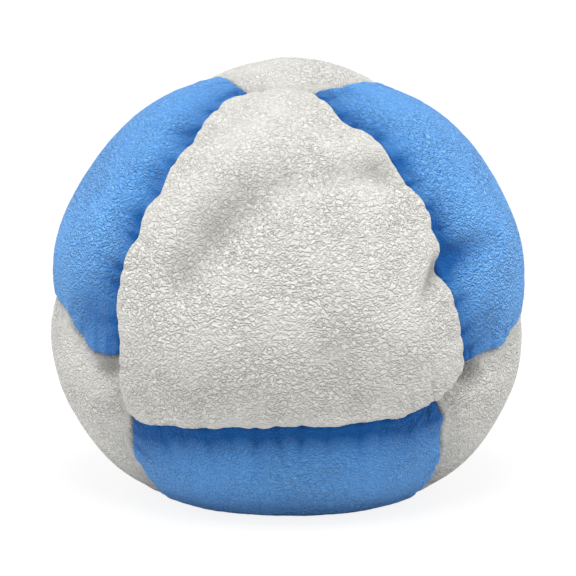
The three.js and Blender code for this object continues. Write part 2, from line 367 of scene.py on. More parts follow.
@dataclass
class SewingPattern:
    """How the eight panels join: the junctions at their corners and the seams between them."""

    ball: RestingBall
    tip_seam: float = 8.8
    tip_wave: float = 0.1
    bow: float = 2.5
    first_seed: int = 11
    seen_junctions: dict[tuple[Tip, Panel], Span] = field(
        default_factory=lambda: {
            (Tip.TOP, Panel.BLUE_UPPER_LEFT): (-33.0, 73.2),
            (Tip.TOP, Panel.BLUE_UPPER_RIGHT): (22.3, 74.7),
            (Tip.LEFT, Panel.BLUE_UPPER_LEFT): (-46.5, -6.0),
            (Tip.LEFT, Panel.BLUE_BOTTOM): (-48.0, -22.0),
            (Tip.RIGHT, Panel.BLUE_UPPER_RIGHT): (50.5, -9.5),
            (Tip.RIGHT, Panel.BLUE_BOTTOM): (42.5, -17.0),
        }
    )
    seen_drifts: dict[tuple[Panel, Panel], tuple[Span, ...]] = field(
        default_factory=lambda: {
            (Panel.GREY_FRONT, Panel.BLUE_UPPER_LEFT): (
                (0.08, 1.9), (0.13, 2.0), (0.2, 2.2), (0.29, 1.7), (0.38, 2.6), (0.46, 1.8),
                (0.54, 3.0), (0.61, 2.2), (0.69, 2.9), (0.76, 2.5), (0.86, 1.7), (0.93, 0.6),
            ),
            (Panel.GREY_FRONT, Panel.BLUE_UPPER_RIGHT): (
                (0.07, 0.2), (0.12, -0.1), (0.17, -0.9), (0.21, 0.4), (0.28, 1.9), (0.36, 1.9),
                (0.45, 1.2), (0.49, 2.2), (0.55, 1.8), (0.58, 1.0), (0.62, 1.5), (0.7, 0.2),
                (0.78, 0.4), (0.91, 0.2),
            ),
            (Panel.GREY_FRONT, Panel.BLUE_BOTTOM): (
                (0.08, 0.6), (0.12, 0.5), (0.16, 0.0), (0.22, 0.1), (0.3, 0.0), (0.37, -0.5),
                (0.46, -0.1), (0.5, -0.4), (0.57, -0.2), (0.65, 0.3), (0.75, 0.5), (0.78, 0.2),
                (0.87, 1.0), (0.93, 0.4),
            ),
            (Panel.GREY_RIGHT_REAR, Panel.BLUE_UPPER_RIGHT): (
                (0.06, 0.6), (0.13, 0.3), (0.19, -0.4), (0.23, -0.3), (0.28, 0.4), (0.43, -1.3),
                (0.7, -0.5),
            ),
            (Panel.GREY_LEFT_REAR, Panel.BLUE_UPPER_LEFT): (
                (0.08, -0.7), (0.15, -0.9), (0.2, 0.2), (0.27, 1.0), (0.31, 2.2), (0.41, 1.8), (0.5, 1.3),
                (0.75, 0.4),
            ),
            (Panel.GREY_LEFT_REAR, Panel.BLUE_BOTTOM): (
                (0.08, 0.2), (0.14, 0.0), (0.21, -0.3), (0.25, 0.3), (0.32, 0.6), (0.6, 0.2),
            ),
            (Panel.GREY_RIGHT_REAR, Panel.BLUE_BOTTOM): (
                (0.04, -0.3), (0.08, -1.2), (0.12, -0.7), (0.17, -0.5), (0.25, -1.3), (0.33, -1.4),
                (0.42, -1.6), (0.7, -0.6),
            ),
            (Panel.GREY_TOP_REAR, Panel.BLUE_UPPER_LEFT): (
                (0.09, -0.4), (0.16, -1.5), (0.23, -2.6), (0.28, -2.9), (0.36, -1.6), (0.6, -0.4),
            ),
            (Panel.GREY_TOP_REAR, Panel.BLUE_UPPER_RIGHT): (
                (0.06, 0.2), (0.12, 1.2), (0.19, 0.9), (0.27, 0.5), (0.36, 0.0), (0.6, -0.4), (0.8, 0.1),
            ),
        }
    )
    seams: dict[frozenset, Seam] = field(default_factory=dict)

    def junction(self, tip: Tip, blue: Panel) -> Array:
        """Finds where a blue corner meets two grey ones.

        Args:
            tip: The tip that the corner points to.
            blue: The blue panel.

        Returns:
            The junction's direction.
        """
        if (tip, blue) in self.seen_junctions:
            return heading(*self.seen_junctions[tip, blue])
        turned = self.tip_seam / 2.0 / self.ball.radius
        towards = unit(blue.middle - tip.direction * (blue.middle @ tip.direction))
        return tip.direction * math.cos(turned) + towards * math.sin(turned)

    def neighbour(self, panel: Panel, first: Tip, second: Tip) -> Panel:
        """Finds the panel of the other suede beyond one side of a panel.

        Args:
            panel: The panel.
            first: The tip at one end of the side.
            second: The tip at its other end.

        Returns:
            The panel that shares both tips.
        """
        for other in Panel:
            if other.colour is not panel.colour and first in other.tips and second in other.tips:
                return other
        raise LookupError(f"{panel.label} has no neighbour there")

    def long_seam(self, panel: Panel, first: Tip, second: Tip) -> tuple[Seam, bool]:
        """Gives the long seam along one side of a panel.

        Args:
            panel: The panel.
            first: The tip that the side starts at.
            second: The tip that it ends at.

        Returns:
            The seam, and whether the panel runs along it backwards.
        """
        other = self.neighbour(panel, first, second)
        grey, blue = (panel, other) if panel.colour is Colour.GREY else (other, panel)
        key = frozenset((grey, blue))
        order = list(Tip)
        low, high = sorted((first, second), key=order.index)
        if key not in self.seams:
            start = self.junction(low, blue)
            end = self.junction(high, blue)
            across = unit(np.cross(start, end))
            sideways = across if across @ blue.middle < 0.0 else -across
            seen = self.seen_drifts.get((grey, blue), ())
            seed = self.first_seed + len(self.seams)
            self.seams[key] = Seam(start, end, sideways, self.ball.radius, self.bow, seed, seen)
        return self.seams[key], first is not low

    def short_seam(self, grey: Panel, tip: Tip, blue_before: Panel, blue_after: Panel) -> tuple[Seam, bool]:
        """Gives the short seam between two grey panels at a tip.

        Args:
            grey: The grey panel that walks along it.
            tip: The tip.
            blue_before: The blue panel that the walk comes from.
            blue_after: The blue panel that the walk goes to.

        Returns:
            The seam, and whether the panel runs along it backwards.
        """
        key = frozenset((tip, blue_before, blue_after))
        order = list(Panel)
        low, high = sorted((blue_before, blue_after), key=order.index)
        if key not in self.seams:
            start = self.junction(tip, low)
            end = self.junction(tip, high)
            sideways = unit(np.cross(start, end))
            seed = self.first_seed + len(self.seams)
            self.seams[key] = Seam(start, end, sideways, self.ball.radius, 0.0, seed, wave=self.tip_wave)
        return self.seams[key], blue_before is not low

    def walk(self, panel: Panel) -> list[tuple[Seam, bool, Panel]]:
        """Walks round a panel, counter-clockwise, from its first tip.

        Args:
            panel: The panel.

        Returns:
            Each seam in turn, whether the walk runs along it backwards, and the panel beyond it.
        """
        tips = panel.tips
        made = []
        for index in range(3):
            first, second, third = tips[index], tips[(index + 1) % 3], tips[(index + 2) % 3]
            before = self.neighbour(panel, first, second)
            made.append((*self.long_seam(panel, first, second), before))
            if panel.colour is Colour.GREY:
                after = self.neighbour(panel, second, third)
                beyond = next(
                    other
                    for other in Panel
                    if other.colour is Colour.GREY and other is not panel and second in other.tips
                )
                made.append((*self.short_seam(panel, second, before, after), beyond))
        return made


@dataclass
class Outline:
    """A panel's closed edge, point by point: where it is sewn and where its fold begins."""

    sewn: Array
    fold_start: Array
    inward: Array
    outward: Array
    pinch: Array
    crease: Array
    fold_radius: Array
    spans: list[tuple[int, int, float]]


@dataclass(frozen=True)
class Dent:
    """A shallow hollow or, with a negative depth, a swelling, by its place, depth and width."""

    azimuth: float
    elevation: float
    depth: float
    width: float


@dataclass(frozen=True)
class Crease:
    """A fold line in the suede from one place to another."""

    start: tuple[float, float]
    end: tuple[float, float]
    depth: float
    width: float


@dataclass(frozen=True)
class Nodes:
    """The nodes of one material or world."""

    tree: bpy.types.NodeTree

    def feed(self, node: bpy.types.Node, inputs: dict[int | str, object]) -> None:
        """Sets a node's inputs.

        Args:
            node: The node.
            inputs: What each input takes: another node's output, or a plain value.
        """
        for name, value in inputs.items():
            if isinstance(value, Socket):
                self.tree.links.new(value, node.inputs[name])
            else:
                node.inputs[name].default_value = value

    def add(
        self, kind: str, inputs: dict[int | str, object], output: int | str = 0, **settings: str
    ) -> Socket:
        """Adds one node.

        Args:
            kind: The node's type, without the ShaderNode in front.
            inputs: What each input takes: another node's output, or a plain value.
            output: The output that is wanted.
            **settings: The node's own settings.

        Returns:
            That output.
        """
        made = self.tree.nodes.new(f"ShaderNode{kind}")
        for name, setting in settings.items():
            setattr(made, name, setting)
        self.feed(made, inputs)
        return made.outputs[output]

    def math(self, operation: str, first: Socket, second: Socket | float) -> Socket:
        """Joins two values by one operation."""
        return self.add("Math", {0: first, 1: second}, operation=operation)

    def attribute(self, name: str) -> Socket:
        """Reads one of the piece's own attributes."""
        return self.add("Attribute", {}, "Fac", attribute_name=name)

    def blend(self, share: Socket, below: Socket, above: Colour3) -> Socket:
        """Lays a share of a plain colour over another colour."""
        return self.add("Mix", {0: share, 6: below, 7: (*above, 1.0)}, 2, data_type="RGBA")

    def noise(self, place: Socket, scale: float, detail: float, twist: float) -> Socket:
        """Adds a noise of so many waves per metre, with its octaves and its distortion."""
        inputs = {"Vector": place, "Scale": scale, "Detail": detail, "Distortion": twist}
        return self.add("TexNoise", inputs, "Fac")

    def rescale(self, value: Socket, source: Span, target: Span) -> Socket:
        """Maps a value evenly from one range to another."""
        ends = {"From Min": source[0], "From Max": source[1], "To Min": target[0], "To Max": target[1]}
        return self.add("MapRange", {"Value": value, **ends}, "Result")

    def ramp(self, share: Socket, stops: tuple[tuple[float, Colour3], ...]) -> Socket:
        """Runs through colours in turn.

        Args:
            share: The place on the ramp.
            stops: Each stop's place and colour, in rising order.

        Returns:
            The colour at that place.
        """
        made = self.tree.nodes.new("ShaderNodeValToRGB")
        elements = made.color_ramp.elements
        for place, _ in stops[1:-1]:
            elements.new(place)
        for element, (place, colour) in zip(elements, stops):
            element.position = place
            element.color = (*colour, 1.0)
        self.feed(made, {"Fac": share})
        return made.outputs["Color"]


@dataclass(frozen=True)
class SuedeFinish:
    """Napped suede: short curled fibres, painted pale on top and dark underneath as by a light from above
    (painted highlight and painted shade).

    The relief of the fibres and the offset at which the painted light reads the nap are in millimetres.
    """

    name: str
    base: Colour3
    # The next two colours are the painted shade on the fibres' lower sides and the painted highlight on
    # their upper sides.
    painted_underside_shade: Colour3
    tip: Colour3
    rim: Colour3
    # The next colour is the painted shade in the hollows by the seams and in dents.
    hollow_shade_colour: Colour3
    sheen: float
    sheen_roughness: float = 0.45
    nap_scale: float = 2050.0
    nap_detail: float = 2.0
    nap_twist: float = 0.5
    nap_relief: float = 0.17
    ridge_width: float = 0.14
    # How far above each point the nap is read again, in millimetres, to paint light from above onto the
    # fibres.
    painted_light_offset: float = 0.06
    squash: float = 1.2
    rubbed: float = 0.45
    contrast: float = 2.4
    patch_scale: float = 160.0
    patch_detail: float = 3.0
    patch_twist: float = 0.3
    uneven_from: Span = (0.35, 0.65)
    uneven: Span = (0.75, 1.15)
    cloudy_from: Span = (0.3, 0.7)
    cloudy: Span = (0.95, 1.04)
    roughness: float = 0.95
    specular: float = 0.2

    def material(self) -> bpy.types.Material:
        """Makes the suede's material.

        Returns:
            A material whose nap follows Object coordinates; the panel's own attributes say where its rim is
            rubbed smooth, how much painted shade its hollows get and how strongly the painted light from
            above marks its nap.
        """
        made = bpy.data.materials.new(self.name)
        made.use_nodes = True
        nodes = Nodes(made.node_tree)
        shader = nodes.tree.nodes["Principled BSDF"]
        nodes.feed(shader, {"Roughness": self.roughness, "Specular IOR Level": self.specular})
        nodes.feed(shader, {"Sheen Weight": self.sheen, "Sheen Roughness": self.sheen_roughness})
        place = self.laid(nodes, 0.0)
        nap = self.curl(nodes, place)
        higher = self.curl(nodes, self.laid(nodes, self.painted_light_offset))
        patch = nodes.noise(place, self.patch_scale, self.patch_detail, self.patch_twist)
        rim = nodes.attribute("rim")
        uneven = nodes.rescale(patch, self.uneven_from, self.uneven)
        rubbed = nodes.rescale(rim, (0.0, 1.0), (1.0, self.rubbed))
        strength = nodes.math("MULTIPLY", uneven, rubbed)

        # Painted light: the nap read a little higher is taken from the nap here, so the fibres' upper sides
        # are painted pale and their lower sides painted dark, as if lit from above.
        over = nodes.math("SUBTRACT", nap, higher)
        painted_light_from_above = nodes.math("MULTIPLY", over, nodes.attribute("upright"))
        painted_light_from_above = nodes.math("MULTIPLY", painted_light_from_above, strength)
        shade = nodes.rescale(painted_light_from_above, (-1.0 / self.contrast, 1.0 / self.contrast), (0.0, 1.0))
        fibres = nodes.ramp(shade, ((0.0, self.painted_underside_shade), (0.5, self.base), (1.0, self.tip)))
        worn = nodes.blend(rim, fibres, self.rim)
        # Painted shade: hollows by the seams and in dents are darkened.
        painted_hollow_shade = nodes.blend(nodes.attribute("hollow"), worn, self.hollow_shade_colour)
        level = nodes.rescale(patch, self.cloudy_from, self.cloudy)
        colour = nodes.add("HueSaturation", {"Value": level, "Color": painted_hollow_shade}, "Color")

        relief = {"Distance": self.nap_relief * MM, "Strength": strength, "Height": nap}
        nodes.feed(shader, {"Base Color": colour, "Normal": nodes.add("Bump", relief, "Normal")})
        return made

    def laid(self, nodes: Nodes, lift: float) -> Socket:
        """Gives Object coordinates for the nap, squashed so that its fibres lie level.

        Args:
            nodes: The material's nodes.
            lift: How far above its own place each point reads, in millimetres.

        Returns:
            The coordinates.
        """
        place = nodes.add("TexCoord", {}, "Object")
        moved = nodes.add("VectorMath", {0: place, 1: (0.0, 0.0, lift * MM)}, "Vector")
        squashed = {0: moved, 1: (1.0, 1.0, self.squash)}
        return nodes.add("VectorMath", squashed, "Vector", operation="MULTIPLY")

    def curl(self, nodes: Nodes, place: Socket) -> Socket:
        """Makes the curled ridges of the nap, which stand where a noise passes its middle.

        Args:
            nodes: The material's nodes.
            place: The coordinates that the noise reads.

        Returns:
            A value of 1 on the ridges, falling evenly to 0 away from them.
        """
        level = nodes.noise(place, self.nap_scale, self.nap_detail, self.nap_twist)
        away = nodes.add("Math", {0: nodes.math("SUBTRACT", level, 0.5)}, operation="ABSOLUTE")
        return nodes.rescale(away, (self.ridge_width, 0.0), (0.0, 1.0))


@dataclass(frozen=True)
class PlainFinish:
    """A speckled finish for the pieces inside the ball."""

    name: str
    light: Colour3
    dark: Colour3
    scale: float
    roughness: float = 0.85
    detail: float = 4.0
    dark_up_to: float = 0.35
    light_from: float = 0.65

    def material(self) -> bpy.types.Material:
        """Makes the material.

        Returns:
            A material that is speckled by a noise on Object coordinates.
        """
        made = bpy.data.materials.new(self.name)
        made.use_nodes = True
        nodes = Nodes(made.node_tree)
        place = nodes.add("TexCoord", {}, "Object")
        speckle = nodes.noise(place, self.scale, self.detail, 0.0)
        colour = nodes.ramp(speckle, ((self.dark_up_to, self.dark), (self.light_from, self.light)))
        nodes.feed(nodes.tree.nodes["Principled BSDF"], {"Roughness": self.roughness, "Base Color": colour})
        return made


@dataclass
class SuedePanel:
    """One suede panel: a stuffed face, a rolled edge and a turned-in allowance. Lengths in millimetres."""

    panel: Panel
    pattern: SewingPattern
    ball: RestingBall
    material: bpy.types.Material
    dents: tuple[Dent, ...] = ()
    creases: tuple[Crease, ...] = ()
    sunk: dict[Panel, float] = field(default_factory=dict)
    cells: int = 22
    refinement: int = 2
    thickness: float = 0.7
    gap: float = 0.14
    fold_radius: float = 0.95
    corner_fold: float = 0.5
    corner_reach: float = 2.2
    edge_rounding: float = 0.4
    corner_rounding: float = 0.9
    allowance: float = 2.4
    crown_loss: float = 0.4
    crown_length: float = 3.0
    hem: float = 0.05
    hem_width: float = 1.3
    trough: float = 0.05
    trough_in: float = 3.8
    pinch_depth: float = 0.3
    pinch_width: float = 0.55
    plain_crease: float = 2.0
    at_fold: float = 0.05
    rim_width: float = 0.35
    rim_wear: float = 0.45
    rim_turn: float = 1.4
    bent_shade: float = 1.0
    shallow: float = 0.3
    deepest: float = 2.2
    hollow_power: float = 1.5
    # The next three sizes set how strongly the painted light from above marks the nap, by the height of
    # each point.
    upright_level: float = 1.45
    upright_rise: float = 1.5
    least_painted_light: float = 0.3
    lump: float = 0.16
    lump_size: float = 8.0
    ripple: float = 0.06
    ripple_size: float = 3.0
    noise_shift: tuple[float, float, float] = (7.0, 3.0, 1.0)
    nap_size: float = 0.75
    nap_height: float = 0.09
    nap_worn: float = 0.75
    held_width: float = 1.4
    lying_width: float = 1.0
    slip: float = 0.25
    model_scale: float = 10.0
    cloth_mass: float = 0.15
    cloth_quality: int = 6
    bending: float = 0.3
    pressure: float = 4.0
    slack: float = 0.015
    frames: int = 20
    most_settled: float = 0.4
    cut_width: float = 46.0
    cut_length: float = 44.0
    stretch: float = 1.03

    def outline(self) -> Outline:
        """Joins the panel's seams into its closed edge.

        Returns:
            The edge, with the pull of the stitches and the place of the fold at each point.
        """
        lines, pinches, creases, corners, spans = [], [], [], [], []
        passed = 0
        for seam, backwards, beyond in self.pattern.walk(self.panel):
            line = seam.line[::-1] if backwards else seam.line
            count = len(line) - 1
            shares = np.arange(count) / count
            if backwards:
                shares = 1.0 - shares
            pull = np.zeros(count)
            length = np.full(count, self.plain_crease)
            for pinch in seam.pinches:
                near = np.exp(-(((shares - pinch.share) * seam.length / self.pinch_width) ** 2))
                pull += pinch.strength * near
                length += (pinch.crease - self.plain_crease) * near
            lines.append(line[:-1])
            pinches.append(pull)
            creases.append(length)
            away = np.minimum(shares, 1.0 - shares) * seam.length
            corners.append(np.exp(-((away / self.corner_reach) ** 2)))
            spans.append((passed, passed + count, self.sunk.get(beyond, self.crown_loss)))
            passed += count
        corner = np.concatenate(corners)
        edge = np.concatenate(lines)
        rounded = blur_ring(edge, self.corner_rounding / Seam.step)
        plain = blur_ring(edge, self.edge_rounding / Seam.step)
        sewn = unit(plain + (rounded - plain) * corner[:, None])
        forward = np.roll(sewn, -1, axis=0) - np.roll(sewn, 1, axis=0)
        inward = unit(np.cross(sewn, forward))
        radius = self.fold_radius + (self.corner_fold - self.fold_radius) * corner
        outward = self.ball.outward(sewn)
        inward = unit(inward - outward * np.sum(inward * outward, axis=1)[:, None])
        width = (radius + self.gap / 2.0) / self.ball.radius
        start = untangle(unit(sewn + inward * np.tan(width)[:, None]), self.panel.middle)
        return Outline(
            sewn, start, inward, outward, np.concatenate(pinches), np.concatenate(creases), radius, spans
        )

    def cut_area(self, edge: Outline) -> float:
        """Works out the area of suede that the panel was cut from.

        Args:
            edge: The panel's edge.

        Returns:
            The flat area in square millimetres, with the turned-in allowance.
        """
        here = edge.sewn
        ahead = np.roll(here, -1, axis=0)
        middle = self.panel.middle
        spread = np.cross(here, ahead) @ middle
        sides = 1.0 + here @ middle + ahead @ middle + np.sum(here * ahead, axis=1)
        dome = 2.0 * np.arctan2(spread, sides).sum() * self.ball.radius**2
        girth = np.linalg.norm(ahead - here, axis=1).sum() * self.ball.radius
        return (dome + girth * self.allowance) / self.stretch

    def cut_flat(self) -> bpy.types.Object:
        """Cuts a flat six-sided piece and divides it into a fine, even grid.

        Returns:
            The flat piece, one unit from its middle to its corners.
        """
        bpy.ops.object.select_all(action="DESELECT")
        bpy.ops.mesh.primitive_circle_add(vertices=6, radius=1.0, fill_type="NGON")
        made = bpy.context.object
        made.name = f"{self.panel.label}_suede"
        made.data.name = made.name
        self.subdivide(made, 1)
        bpy.ops.object.mode_set(mode="EDIT")
        bpy.ops.mesh.select_all(action="SELECT")
        bpy.ops.mesh.subdivide(number_cuts=self.cells - 1)
        bpy.ops.object.mode_set(mode="OBJECT")
        return made

    @staticmethod
    def read(piece: bpy.types.Object) -> Array:
        """Reads the places of a piece's points.

        Args:
            piece: The piece.

        Returns:
            One row for each point.
        """
        found = np.zeros(len(piece.data.vertices) * 3)
        piece.data.vertices.foreach_get("co", found)
        return found.reshape(-1, 3)

    @staticmethod
    def write(piece: bpy.types.Object, points: Array) -> None:
        """Moves a piece's points to new places."""
        piece.data.vertices.foreach_set("co", points.ravel())
        piece.data.update()

    @staticmethod
    def hold(
        piece: bpy.types.Object, name: str, weights: Array, levels: int = 20
    ) -> bpy.types.VertexGroup:
        """Keeps one weight for each point in a vertex group.

        Args:
            piece: The piece.
            name: The group's name.
            weights: One weight for each point, from 0 to 1.
            levels: How many levels the weights are rounded to.

        Returns:
            The group.
        """
        group = piece.vertex_groups.new(name=name)
        rounded = np.round(weights * levels).astype(int)
        for level in range(1, levels + 1):
            group.add(np.nonzero(rounded == level)[0].tolist(), level / levels, "REPLACE")
        return group

    def settle(self, piece: bpy.types.Object) -> Array:
        """Lets the suede settle: its edge held by the stitches, and the sand pushing from inside.

        The cloth is simulated larger, because the solver is made for larger things. The swelling of
        the whole panel is taken off again, because the amount of sand stays the same.

        Args:
            piece: The flat piece, which is flat again afterwards.

        Returns:
            How far each point of the divided piece moves, in millimetres.
        """
        flat = self.read(piece)
        points, known = replace(self, dents=(), creases=()).shape(flat)
        moves = np.zeros_like(points)
        self.write(piece, points / self.model_scale)
        group = self.hold(piece, "held", known["held"])
        modifier = piece.modifiers.new("settle", "CLOTH")
        cloth = modifier.settings
        cloth.vertex_group_mass = group.name
        cloth.mass = self.cloth_mass
        cloth.quality = self.cloth_quality
        cloth.bending_stiffness = self.bending
        cloth.shrink_min = -self.slack
        cloth.use_pressure = True
        cloth.uniform_pressure_force = self.pressure
        cloth.effector_weights.gravity = 0.0
        modifier.point_cache.frame_start = 1
        modifier.point_cache.frame_end = self.frames
        for number in range(1, self.frames + 1):
            bpy.context.scene.frame_set(number)
        bpy.ops.object.modifier_apply(modifier=modifier.name)
        bpy.context.scene.frame_set(1)
        piece.vertex_groups.clear()
        moves = self.read(piece) * self.model_scale - points
        outward = unit(points)
        free = 1.0 - known["held"]
        swell = np.sum(moves * outward, axis=1) @ free / free.sum()
        moves -= outward * (swell * free)[:, None]
        far = np.linalg.norm(moves, axis=1)
        LOG.info("%s: swells by %.2f mm and shifts by up to %.2f mm", piece.name, swell, far.max())
        moves *= (np.minimum(far, self.most_settled) / np.maximum(far, 1e-6))[:, None]
        self.write(piece, moves)
        bpy.ops.object.duplicate()
        spread = bpy.context.object
        self.subdivide(spread, self.refinement, "CATMULL_CLARK")
        fine = self.read(spread)
        bpy.data.objects.remove(spread)
        bpy.context.view_layer.objects.active = piece
        piece.select_set(True)
        self.write(piece, flat)
        return fine

    @staticmethod
    def subdivide(piece: bpy.types.Object, levels: int, kind: str = "SIMPLE") -> None:
        """Divides every face and applies the result.

        Args:
            piece: The piece.
            levels: How often its faces are divided.
            kind: How: evenly, or with smoothing.
        """
        modifier = piece.modifiers.new("grid", "SUBSURF")
        modifier.subdivision_type = kind
        modifier.levels = levels
        modifier.render_levels = levels
        bpy.ops.object.modifier_apply(modifier=modifier.name)

    def loss(self, directions: Array, edge: Outline) -> tuple[Array, Array, Array]:
        """Works out how far the face lies below the full round form.

        Args:
            directions: Unit directions of the points.
            edge: The panel's edge.

        Returns:
            The loss at each point, its distance to the nearest fold, and how much painted shade its hollow
            gets, from 0 to 1.
        """
        total = np.zeros(len(directions))
        nearest_fold = np.full(len(directions), self.ball.radius)
        for begin, end, sunk in edge.spans:
            closeness = directions @ edge.fold_start[begin:end].T
            nearest = begin + closeness.argmax(axis=1)
            away = np.arccos(np.clip(closeness.max(axis=1), -1.0, 1.0)) * self.ball.radius
            away = np.where(away < self.at_fold, 0.0, away)
            total += sunk * np.exp(-away / self.crown_length)
            total += self.pinch_depth * edge.pinch[nearest] * np.exp(-away / edge.crease[nearest])
            nearest_fold = np.minimum(nearest_fold, away)
        bent = np.zeros(len(directions))
        for dent in self.dents:
            away = np.arccos(np.clip(directions @ heading(dent.azimuth, dent.elevation), -1.0, 1.0))
            bent += dent.depth * np.exp(-((away * self.ball.radius / dent.width) ** 2))
        for crease in self.creases:
            bent += self.crease_depth(directions, crease)
        # Painted shade for the material: sunk seams and dents darken the colour by their depth.
        shaded = total + bent * self.bent_shade
        hollow = np.clip((shaded - self.shallow) / (self.deepest - self.shallow), 0.0, 1.0)
        hollow = hollow**self.hollow_power
        total += bent
        total -= self.hem * np.exp(-((nearest_fold / self.hem_width) ** 2))
        total += self.trough * np.exp(-(((nearest_fold - self.trough_in) / self.hem_width) ** 2))
        along, across, up = self.noise_shift
        shift = Vector((along * (list(Panel).index(self.panel) + 1), across, up))
        for index, direction in enumerate(directions):
            at = Vector(direction) * self.ball.radius
            swell = self.lump * noise.noise(at / self.lump_size + shift)
            swell += self.ripple * noise.noise(at / self.ripple_size - shift)
            total[index] -= swell
        return total, nearest_fold, hollow

    def crease_depth(self, directions: Array, crease: Crease) -> Array:
        """Works out the depth of one crease.

        Args:
            directions: Unit directions of the points.
            crease: The crease.

        Returns:
            The depth at each point, fading towards the crease's end.
        """
        start = heading(*crease.start) * self.ball.radius
        end = heading(*crease.end) * self.ball.radius
        run = end - start
        points = directions * self.ball.radius - start
        share = np.clip(points @ run / (run @ run), 0.0, 1.0)
        away = np.linalg.norm(points - share[:, None] * run, axis=1)
        fade = np.sqrt(np.clip(1.0 - share, 0.0, 1.0))
        return crease.depth * fade * np.exp(-((away / crease.width) ** 2))

    def shape(self, flat: Array) -> tuple[Array, dict[str, Array]]:
        """Lays the flat piece over the sand: face, rolled edge and turned-in allowance.

        Args:
            flat: The flat piece's points.

        Returns:
            The points from the ball's centre, and what is known of each one, from 0 to 1: how close it is
            to the rim, how much painted shade its hollow gets, how strongly the painted light from above
            marks its nap and how firmly it is held.
        """
        edge = self.outline()
        sixth = math.pi / 3.0
        first = math.atan2(flat[0, 1], flat[0, 0])
        turn = np.mod(np.arctan2(flat[:, 1], flat[:, 0]) - first, 2.0 * math.pi)
        side = np.floor(turn / sixth)
        lean = turn - side * sixth - sixth / 2.0
        share = np.hypot(flat[:, 0], flat[:, 1]) * np.cos(lean) / math.cos(sixth / 2.0)
        share = np.clip(share, 0.0, 1.0)
        round_share = np.mod((side + 0.5 + np.tan(lean) / (2.0 * math.tan(sixth / 2.0))) / 6.0, 1.0)
        count = len(edge.sewn)
        is_grey = self.panel.colour is Colour.GREY
        lead = -0.5 * self.pattern.tip_seam / (count * Seam.step) if is_grey else 0.0
        at = np.mod(round_share + lead, 1.0) * count
        low = np.floor(at).astype(int) % count
        high = (low + 1) % count
        part = (at - np.floor(at))[:, None]

        def pick(rows: Array) -> Array:
            """Reads the edge's rows between two of its points."""
            values = rows if rows.ndim == 2 else rows[:, None]
            return values[low] * (1.0 - part) + values[high] * part

        start = unit(pick(edge.fold_start))
        inward = unit(pick(edge.inward))
        outward = unit(pick(edge.outward))
        fold = pick(edge.fold_radius)[:, 0]
        middle = np.broadcast_to(self.panel.middle, start.shape)
        face_run = np.arccos(np.clip(np.sum(middle * start, axis=1), -1.0, 1.0)) * self.ball.radius
        fold_run = fold * math.pi / 2.0
        run = share * (face_run + fold_run + self.allowance)
        directions = along_arc(middle, start, np.minimum(run / face_run, 1.0))
        loss, distance, hollow = self.loss(directions, edge)
        points = directions * self.ball.reach(directions, loss)[:, None]
        turned = np.clip((run - face_run) / fold, 0.0, math.pi / 2.0)
        sunk = np.maximum(run - face_run - fold_run, 0.0)
        roll = outward * (np.cos(turned) - 1.0)[:, None] - inward * np.sin(turned)[:, None]
        points = points + roll * fold[:, None] - outward * sunk[:, None]
        rim = self.rim_wear * np.exp(-distance / self.rim_width)
        rim = rim * np.clip(self.rim_turn - turned, 0.0, 1.0)
        past_floor = self.ball.radius + self.lying_width - self.ball.floor_reach(directions)
        lying = np.clip(past_floor / self.lying_width, 0.0, 1.0)
        grip = np.clip(self.slip + (1.0 - self.slip) * pick(edge.pinch)[:, 0], 0.0, 1.0)
        held = np.maximum(np.exp(-((distance / self.held_width) ** 2)) * grip, np.maximum(lying, turned))
        held = np.minimum(held, 1.0)
        height = directions[:, 2]
        # Painted light share: the fibres' painted highlight and shade are weak where the face looks
        # straight up and fade low down.
        lit = np.clip(self.upright_level + self.upright_rise * height, self.least_painted_light, 1.0)
        upright = (1.0 - height**2) * lit
        return points, {"rim": rim, "hollow": hollow, "upright": upright, "held": held}

    def build(self) -> bpy.types.Object:
        """Makes the finished panel.

        Returns:
            The panel's object, dressed and attached to the ball's body.
        """
        piece = self.cut_flat()
        moves = self.settle(piece)
        self.subdivide(piece, self.refinement)
        points, looks = self.shape(self.read(piece))
        self.write(piece, self.ball.place(points + moves))
        mesh = piece.data
        del looks["held"]
        for name, values in looks.items():
            held = mesh.attributes.new(name, "FLOAT", "POINT")
            held.data.foreach_set("value", values)
        self.raise_nap(piece, looks["rim"])
        self.thicken(piece)
        mesh.materials.append(self.material)
        bpy.ops.object.shade_smooth()
        self.declare(piece)
        return piece

    def raise_nap(self, piece: bpy.types.Object, rim: Array) -> None:
        """Raises the crumpled nap of the face, less at the rim.

        Args:
            piece: The panel.
            rim: How close each point is to the rim.
        """
        group = self.hold(piece, "nap", 1.0 - self.nap_worn * rim)
        roughen(piece, "nap", self.nap_size, self.nap_height, group.name)
        piece.vertex_groups.clear()

    def thicken(self, piece: bpy.types.Object) -> None:
        """Gives the panel its thickness, inwards.

        Args:
            piece: The panel.
        """
        modifier = piece.modifiers.new("suede", "SOLIDIFY")
        modifier.thickness = self.thickness * MM
        modifier.offset = -1.0
        bpy.ops.object.modifier_apply(modifier=modifier.name)

    def declare(self, piece: bpy.types.Object) -> None:
        """Attaches the panel to the ball's body, hides the part that it replaces and logs the area it was
        cut from.

        Args:
            piece: The panel.
        """
        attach(piece, "root")
        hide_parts(f"{self.panel.label}_panel")
        area = self.cut_area(self.outline())
        LOG.info("%s: cut from %.0f mm2 of suede", piece.name, area)


